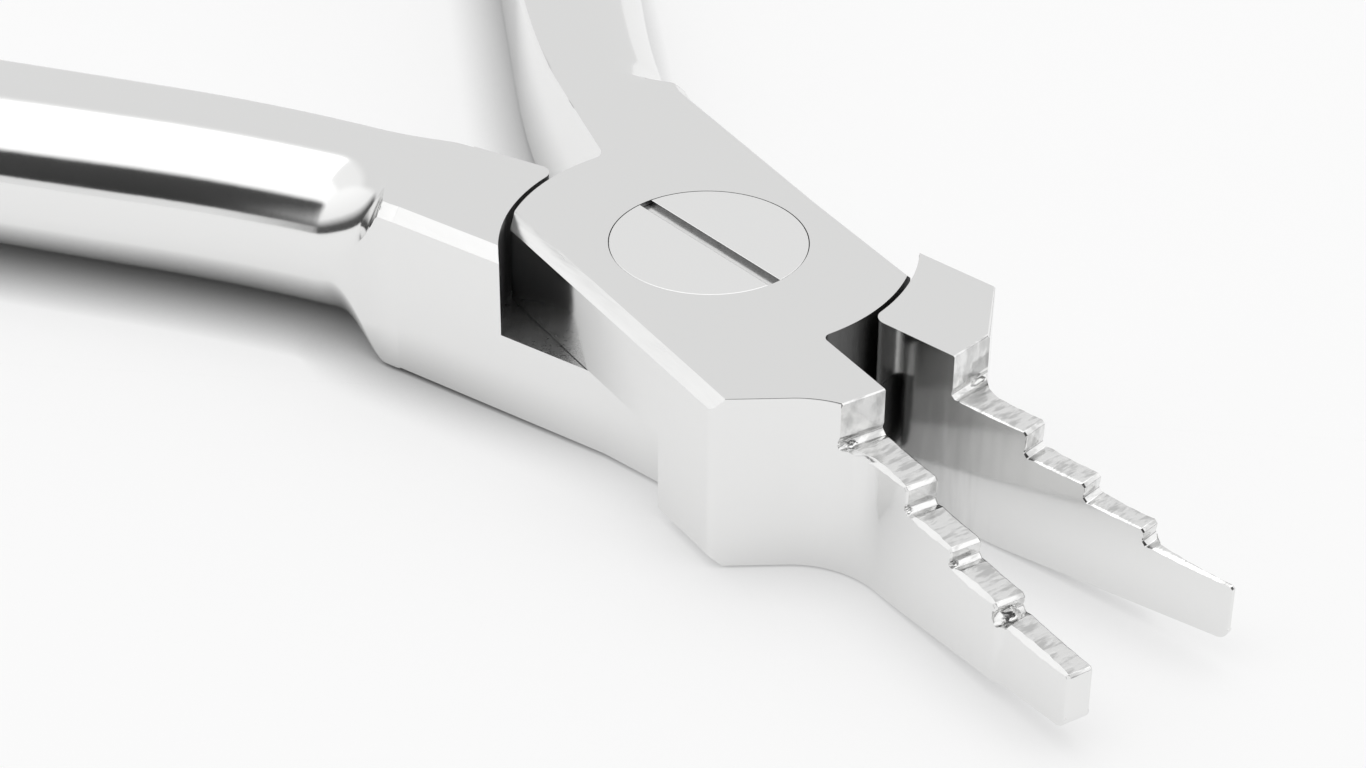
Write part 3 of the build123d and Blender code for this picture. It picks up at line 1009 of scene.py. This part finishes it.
# %% Build the handle's node tree
def handle_tree():
    tree = bpy.data.node_groups.new("handle_maker", "GeometryNodeTree")
    tree.interface.new_socket("Geometry", in_out="INPUT", socket_type="NodeSocketGeometry")
    for name, value in HANDLE_SIZES.items():
        socket = tree.interface.new_socket(name, in_out="INPUT", socket_type="NodeSocketFloat")
        socket.default_value = value
    tree.interface.new_socket("Steel", in_out="INPUT", socket_type="NodeSocketMaterial")
    tree.interface.new_socket("Geometry", in_out="OUTPUT", socket_type="NodeSocketGeometry")
    sums = Sums(tree)
    given = sums.node("NodeGroupInput").outputs
    m = sums.math
    distance, total, splay_length, shrink = way_along(sums, given)
    x, y, sine, cosine = place_on_path(sums, given, distance, splay_length)
    neck = m("DIVIDE", distance, given["Neck length"], clamp=True)
    width, half = width_and_half(sums, given, distance, total, neck)
    across, height = point_of_d(sums, given, neck, width, half)
    middle = m("MULTIPLY", width, 0.5)
    across = m("MULTIPLY_ADD", m("SUBTRACT", across, middle), shrink, middle)
    signed = m("MULTIPLY_ADD", stored(sums, "above"), 2.0, -1.0)
    height = m("MULTIPLY_ADD", m("MULTIPLY", height, shrink), signed, THICKNESS / 2)
    place = sums.xyz(m("MULTIPLY_ADD", across, sine, x), m("SUBTRACT", y, m("MULTIPLY", across, cosine)), height)
    made = swept_rings(sums, given)
    for kind, more in (
        ("GeometryNodeSetPosition", {"Position": place}),
        ("GeometryNodeRealizeInstances", {}),
        ("GeometryNodeSetMaterial", {"Material": given["Steel"]}),
    ):
        made = sums.node(kind, {"Geometry": made, **more}).outputs["Geometry"]
    sums.node("NodeGroupOutput", {"Geometry": made})
    return tree


handle_maker = handle_tree()
print("handle tree:", len(handle_maker.nodes), "nodes")

# %% [markdown]
# ## Making the two handles
# A carrier object holds the section, its modifier runs the tree, and the result becomes a plain mesh that a boolean
# can join to the block. It is pushed a few thousandths of a millimetre into the block, so that the two truly overlap.

# %% Make the handles with the tree
INTO_BLOCK = (0.003, -0.001)


def make_handle(root_width):
    """A closed body, in the lever's own frame."""
    carrier = bpy.data.objects.new("handle", section.copy())
    scene.collection.objects.link(carrier)
    maker = carrier.modifiers.new("handle", "NODES")
    maker.node_group = handle_maker
    ids = {s.name: s.identifier for s in handle_maker.interface.items_tree if s.in_out == "INPUT"}
    for name, value in HANDLE_SIZES.items():
        maker[ids[name]] = float(value)
    maker[ids["Root depth"]] = (root_width + ROOT.y) / cos(ROOT_HEADING)
    maker[ids["Steel"]] = polished
    made = carrier.evaluated_get(bpy.context.evaluated_depsgraph_get())
    data = bpy.data.meshes.new_from_object(made)
    mesh = bmesh.new()
    mesh.from_mesh(data)
    bpy.data.objects.remove(carrier)
    bmesh.ops.remove_doubles(mesh, verts=mesh.verts, dist=0.0001)
    bmesh.ops.recalc_face_normals(mesh, faces=mesh.faces)
    bmesh.ops.translate(mesh, vec=(*INTO_BLOCK, 0), verts=mesh.verts)
    return mesh


lower_handle = make_handle(LOWER["root_width"])
upper_handle = make_handle(UPPER["root_width"])
print("handle:", len(lower_handle.faces), "faces,", round(lower_handle.calc_volume()), "cubic mm")

# %% [markdown]
# ## Which face has which finish
# The wheel that polished the outside never reached the walls of the round notch and the bore, which stay as milled.
# The lap faces were turned on each other. Both get darker steel, as painted shade inside the joint. The tops of the
# steps are ground, the edges a file broke are brushed, and the flat jaw faces have their own fine lines. A face's place
# and direction tell which it is, in the lever's own frame.

# %% Helper: the finish of a face
JAW_TOP = 2.5
NOTCH_WALL = (8.9, 9.8)


def on_steps(face):
    """A face of the stepped top, in the lever's own frame."""
    middle = face.calc_center_median()
    return middle.x > FIRST_STEP_X - 0.3 and middle.z > JAW_TOP and abs(face.normal.y) < 0.1 and face.normal.z > -0.5


def finish_of(face):
    """Which of the finishes a face of the lever has."""
    middle = face.calc_center_median()
    normal = face.normal
    reach = middle.xy.length
    outward = normal.xy.normalized().dot(middle.xy.normalized()) if abs(normal.z) < 0.3 else 0
    # Faces inside the joint get darker steel, as painted shade
    if abs(middle.z - THICKNESS / 2) < 0.1 and reach < SHOULDER_RADIUS + 1 and abs(normal.z) > 0.5:
        return lap_faces
    if (NOTCH_WALL[0] < reach < NOTCH_WALL[1] and abs(outward) > 0.8) or (reach < 5 and middle.z < THICKNESS - 0.02):
        return milled_in_painted_shade
    if middle.x > FIRST_STEP_X and middle.z > JAW_TOP and normal.z > 0.2 and normal.y > 0.3:
        return brushed
    if on_steps(face) or (middle.x > FIRST_STEP_X and abs(normal.z) > 0.2 and middle.z > JAW_TOP):
        return ground
    if middle.x > 8.0 and abs(middle.y - JAW_FACE) < 0.2 and normal.y < -0.9:
        return jaw_faces
    if ROOT.x < middle.x < 12.5 and middle.z > THICKNESS - 0.6 and 0.6 < normal.z < 0.85:
        return brushed
    return polished


print("a lever has", len(FINISHES), "finishes")

# %% [markdown]
# ## Shading
# Smooth shading alone would bend the reflections on the flats near every edge. Weighted normals let the large faces
# decide, so the flats mirror the room straight and only the narrow edge breaks bend the light.

# %% Helper: shade a piece
SMOOTH_UP_TO, LARGE_FACES_COUNT = 35, 80


def shade(name, mesh, materials, angle=SMOOTH_UP_TO):
    """Makes the object, smooth except over edges sharper than the angle, with its flats kept flat."""
    made = make_object(name, mesh)
    for material in materials:
        made.data.materials.append(material)
    made.data.set_sharp_from_angle(angle=radians(angle))
    weigh = made.modifiers.new("weigh", "WEIGHTED_NORMAL")
    weigh.keep_sharp = True
    weigh.weight = LARGE_FACES_COUNT
    graph = bpy.context.evaluated_depsgraph_get()
    data = bpy.data.meshes.new_from_object(made.evaluated_get(graph), preserve_all_data_layers=True, depsgraph=graph)
    made.modifiers.clear()
    made.data = data
    return made


print("edges up to", SMOOTH_UP_TO, "degrees are shaded smooth")

# %% [markdown]
# ## Joining block and handle into one lever
# The handle starts on the flat end of the block, so a union makes one closed body of them, as the forging is. Both
# levers are built alike in their own frame. The upper one is then mirrored, and each is turned by half the opening.

# %% Finish both levers
def finish_lever(name, block, handle, turn, mirrored):
    """One lever with softened edges and finishes, turned to its place in the photo."""
    lever = combine(block, handle, "UNION", flatten=False)
    print(name, "has", soften(lever), "softened edges")
    for face in lever.faces:
        face.smooth = True
        face.material_index = FINISHES.index(finish_of(face))
    if mirrored:
        bmesh.ops.scale(lever, vec=(1, -1, 1), verts=lever.verts)
        bmesh.ops.reverse_faces(lever, faces=lever.faces)
    bmesh.ops.rotate(lever, cent=(0, 0, 0), matrix=Matrix.Rotation(radians(turn), 3, "Z"), verts=lever.verts)
    bmesh.ops.scale(lever, vec=(MM, MM, MM), verts=lever.verts)
    open_edges = sum(1 for edge in lever.edges if len(edge.link_faces) != 2)
    print(name, len(lever.faces), "faces,", open_edges, "open edges,", round(lever.calc_volume() / MM**3), "cubic mm")
    return shade(name, lever, FINISHES)


lower_lever = finish_lever("polished_lower_lever", lower_block, lower_handle, HALF_OPENING, False)
upper_lever = finish_lever("polished_upper_lever", upper_block, upper_handle, -HALF_OPENING, True)

# %% [markdown]
# ## The pivot screw
# A flat-headed screw, turned on a lathe and set flush in the upper lever. It is spun from its side outline,
# and a box cuts the slot. The gap of a few hundredths of a millimetre round the head shows as a thin dark ring.

# %% Turn the screw
def turned_body(outline, count=96):
    """A closed body from (radius, height) pairs, first and last without the points on the axis."""
    body = bmesh.new()
    turns = [2 * pi * i / count for i in range(count)]
    rings = []
    for radius, height in outline:
        rings.append([body.verts.new((radius * cos(turn), radius * sin(turn), height)) for turn in turns])
    body.faces.new(rings[0])
    body.faces.new(rings[-1])
    for one, two in zip(rings, rings[1:]):
        for i in range(count):
            body.faces.new((one[i], one[(i + 1) % count], two[(i + 1) % count], two[i]))
    bmesh.ops.recalc_face_normals(body, faces=body.faces)
    return body


SHANK, HEAD, HEAD_DEPTH, SHANK_BEVEL, HEAD_BEVEL = 3.0, 4.5, 1.7, 0.3, 0.02
under_head = THICKNESS - HEAD_DEPTH
lower_part = [(SHANK - SHANK_BEVEL, 0.0), (SHANK, SHANK_BEVEL), (SHANK, under_head)]
screw = turned_body(
    lower_part + [(HEAD, under_head), (HEAD, THICKNESS - HEAD_BEVEL), (HEAD - HEAD_BEVEL, THICKNESS)]
)
print("screw body:", round(screw.calc_volume()), "cubic mm")

# %% [markdown]
# ## The slot
# A screwdriver's slot is a plain milled groove, worn round at its lips. A box cuts it, a small bevel rounds the lips,
# its floor gets duller steel than the lapped head, and its walls get dark steel, as painted shade in the slot.

# %% Cut the slot and place the screw
SLOT_WIDTH, SLOT_DEPTH, LIP, ACROSS = 0.68, 0.24, 0.09, 6
side = SLOT_WIDTH / 2
slot_cut = prism([(-ACROSS, -side), (ACROSS, -side), (ACROSS, side), (-ACROSS, side)], THICKNESS - SLOT_DEPTH, 12)
screw = cut(screw, slot_cut)
lips = [
    edge
    for edge in screw.edges
    if len(edge.link_faces) == 2
    and edge.calc_face_angle(0) > radians(60)
    and all(abs(abs(v.co.y) - side) < 0.001 and v.co.z > THICKNESS - 0.01 for v in edge.verts)
]
bevel(screw, lips, LIP, 3)
for face in screw.faces:
    face.smooth = True
    middle = face.calc_center_median()
    # The slot's floor gets brushed steel, its walls dark steel as painted shade
    if abs(middle.y) < side + 0.01 and THICKNESS - 0.35 < middle.z < THICKNESS - 0.07:
        face.material_index = 1 if face.normal.z > 0.5 else 2
bmesh.ops.scale(screw, vec=(MM, MM, MM), verts=screw.verts)
print("screw:", len(screw.faces), "faces")
pivot_screw = shade("slotted_pivot_screw", screw, (turned, brushed, milled_in_painted_shade))

# %% [markdown]
# ## What moves with what
# The screw is threaded into the lower lever and turns with it; the upper lever turns on the screw.

# %% Ride the frame's bodies
for piece, body, node, slot_name in (
    (lower_lever, "lower", "lower_lever", "lever_steel"),
    (upper_lever, "upper", "upper_lever", "lever_steel"),
    (pivot_screw, "lower", "pivot_screw", "screw_steel"),
):
    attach(piece, body)
    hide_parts(node)
    print(piece.name, "rides on", body)

# %% [markdown]
# ## The table and the room
# The tool lies on a plain white table. Above it hangs a wide soft light, beyond it the room is light grey, and on the
# camera's side the room is dark. Polished steel shows exactly that: bright bands where its curve looks up, dark bands
# where it looks back past the camera, and grey flats. So the world is a strip of brightness from the dark side over
# the top to the far side, and it is the only lamp.

# %% The white table, with a painted shadow
TABLE_WHITE, TABLE_GLOW = 0.9, 0.6
# Painted shadow on the table: how far from the steel it reaches, and how deep it is at the jaw and at the handle
PAINTED_SHADOW_REACH, PAINTED_SHADOW_AT_JAW, PAINTED_SHADOW_AT_HANDLE = 0.0032, 0.2, 1.5


def table_with_painted_shadow():
    """A white sheet. Half of what one sees of it is its own white glow, with a painted shadow close to the tool, deeper
    under the handles than under the jaws.
    """
    material = bpy.data.materials.new("table_with_painted_shadow")
    material.use_nodes = True
    tree = material.node_tree
    sums = Sums(tree)
    shader = tree.nodes["Principled BSDF"]
    shader.inputs["Base Color"].default_value = (TABLE_WHITE, TABLE_WHITE, TABLE_WHITE, 1.0)
    shader.inputs["Roughness"].default_value = 0.6
    shader.inputs["Specular IOR Level"].default_value = 0.0
    # Painted shadow: ambient occlusion close to the steel darkens the table's own glow, more towards the handles
    near = sums.node("ShaderNodeAmbientOcclusion", {"Distance": PAINTED_SHADOW_REACH}, samples=8)
    spot = sums.split(sums.node("ShaderNodeTexCoord").outputs["Object"])
    deep = sums.mix(PAINTED_SHADOW_AT_HANDLE, PAINTED_SHADOW_AT_JAW, rise(sums, spot[0], -0.014, 0.006))
    white = sums.node("ShaderNodeEmission", {"Strength": sums.math("POWER", near.outputs["AO"], deep)})
    path = sums.node("ShaderNodeLightPath").outputs
    seen = sums.math("MULTIPLY", sums.math("MAXIMUM", path["Is Camera Ray"], path["Is Glossy Ray"]), TABLE_GLOW)
    both = sums.node("ShaderNodeMixShader", {0: seen, 1: shader.outputs["BSDF"], 2: white.outputs["Emission"]})
    sums.feed(tree.nodes["Material Output"].inputs["Surface"], both.outputs["Shader"])
    mesh = bmesh.new()
    bmesh.ops.create_grid(mesh, x_segments=1, y_segments=1, size=3.0)
    bmesh.ops.translate(mesh, vec=(0, 0, -0.00015), verts=mesh.verts)
    table = make_object("table", mesh)
    table.data.materials.append(material)
    return table


table_with_painted_shadow()
print("the table is darkened within", PAINTED_SHADOW_REACH / MM, "mm of the steel")

# %% [markdown]
# ## The room of light
# Each stop says how bright the room is at an angle: up from the camera's horizon, over the top at 90 degrees and down
# to the far horizon at 180. A picture of a studio would light the steel too, but stops can be set one by one.

# %% Helpers: a soft band and a ramp of light
def band(sums, value, start, end, soft):
    """1 between start and end, with soft borders."""
    fall = sums.math("SUBTRACT", 1.0, rise(sums, value, end - soft / 2, end + soft / 2))
    return sums.math("MULTIPLY", rise(sums, value, start - soft / 2, start + soft / 2), fall)


def ramp_of(sums, angle, stops):
    """A brightness that follows stops of (degrees, level)."""
    ramp = sums.node("ShaderNodeValToRGB", {"Fac": angle})
    elements = ramp.color_ramp.elements
    while len(elements) < len(stops):
        elements.new(0.5)
    for element, (degree, level) in zip(elements, stops):
        element.position = degree / 180.0
        element.color = (level, level, level, 1.0)
    return ramp.outputs["Color"]


OVER_MIDDLE = [(0, 0.85), (10, 0.85), (13, 0.04), (50, 0.06), (57, 1.25), (84, 1.25), (92, 1.02), (124, 1.0)]
OVER_MIDDLE.append((133, 0.82))
OVER_SIDES = [(0, 0.06), (22, 0.1), (50, 1.0), (110, 1.15)]
print("the room has", len(OVER_MIDDLE), "stops over the middle and", len(OVER_SIDES), "at the sides")


# %% The studio world
LAMP, LAMP_FROM, LAMP_TO = 0.7, 82, 126
LAMP_MIDDLE, LAMP_LEAN, LAMP_LEFT, LAMP_RIGHT = 103, 0.0055, -0.43, 0.4
SIDES_FROM, SIDES_TO = 0.68, 0.78


def studio_world():
    """A room of light. Angle runs from the camera's horizon (0) over the top (90) to the far horizon (180)."""
    world = bpy.data.worlds.new("studio")
    world.use_nodes = True
    tree = world.node_tree
    sums = Sums(tree)
    background = tree.nodes["Background"]
    direction = sums.node("ShaderNodeTexCoord").outputs["Generated"]
    parts = sums.split(direction)
    toward = sums.math(
        "MULTIPLY_ADD", parts[0], sin(CAMERA_AZIMUTH), sums.math("MULTIPLY", parts[1], -cos(CAMERA_AZIMUTH))
    )
    sideways = sums.math(
        "MULTIPLY_ADD", parts[0], cos(CAMERA_AZIMUTH), sums.math("MULTIPLY", parts[1], sin(CAMERA_AZIMUTH))
    )
    angle = sums.math("DIVIDE", sums.math("ARCTAN2", parts[2], toward), pi)
    # The lamp's left border leans, as the handle's curve sees it
    from_middle = sums.math("SUBTRACT", LAMP_MIDDLE / 180, angle)
    leaning = sums.math("MULTIPLY_ADD", from_middle, 180 * LAMP_LEAN, sideways)
    lamp = sums.math(
        "MULTIPLY",
        band(sums, angle, LAMP_FROM / 180, LAMP_TO / 180, 0.04),
        band(sums, leaning, LAMP_LEFT, LAMP_RIGHT, 0.03),
    )
    over_middle = sums.math("MULTIPLY_ADD", lamp, LAMP, ramp_of(sums, angle, OVER_MIDDLE))
    over_sides = ramp_of(sums, parts[2], OVER_SIDES)
    wide = rise(sums, sums.math("ABSOLUTE", sideways), SIDES_FROM, SIDES_TO)
    level = sums.mix(over_middle, over_sides, wide)
    shown = sums.mix(level, 1.0, sums.node("ShaderNodeLightPath").outputs["Is Camera Ray"])
    background.inputs["Color"].default_value = (1, 1, 1, 1)
    sums.feed(background.inputs["Strength"], shown)
    return world


scene.world = studio_world()
print("the room is lit")

# %% [markdown]
# ## Bringing the scene up to date
# The finished steel must stay in the box of the packed model; here the view layer is only updated once more.

# %% Update the view layer
bpy.context.view_layer.update()
